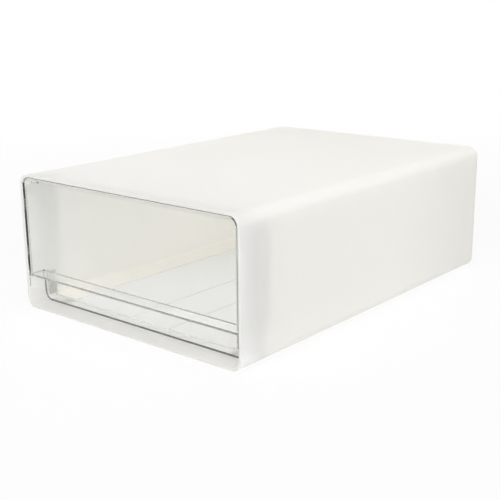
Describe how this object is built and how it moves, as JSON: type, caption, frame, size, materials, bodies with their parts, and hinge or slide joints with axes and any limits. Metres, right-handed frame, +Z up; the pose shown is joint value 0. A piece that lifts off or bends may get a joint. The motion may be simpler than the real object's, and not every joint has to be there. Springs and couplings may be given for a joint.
{
  "type": "stackable drawer box",
  "caption": "White rounded storage case with one pull-out drawer; clear drawer front with a set-back finger pull.",
  "frame": {"origin": "on the ground, under the middle of the closed box", "axes": "-Y towards the drawer's front, +Z up, X across"},
  "size_m": [0.26, 0.378, 0.1255],
  "materials": {
    "case_white": "satin moulded polypropylene, very fine texture",
    "tray_white": "smooth moulded polypropylene",
    "clear_plastic": "polished clear styrene",
    "pad_rubber": "soft translucent grey elastomer"
  },
  "bodies": {
    "case": {"outer_case": "case_white", "pad_front_left": "pad_rubber", "pad_front_right": "pad_rubber", "pad_rear_left": "pad_rubber", "pad_rear_right": "pad_rubber"},
    "drawer": {"drawer_tray": "tray_white", "drawer_front": "clear_plastic"}
  },
  "joints": [
    {"name": "drawer_slide", "type": "slide", "parent": "case", "child": "drawer", "axis": [0, -1, 0], "range_m": [0, 0.3]}
  ]
}
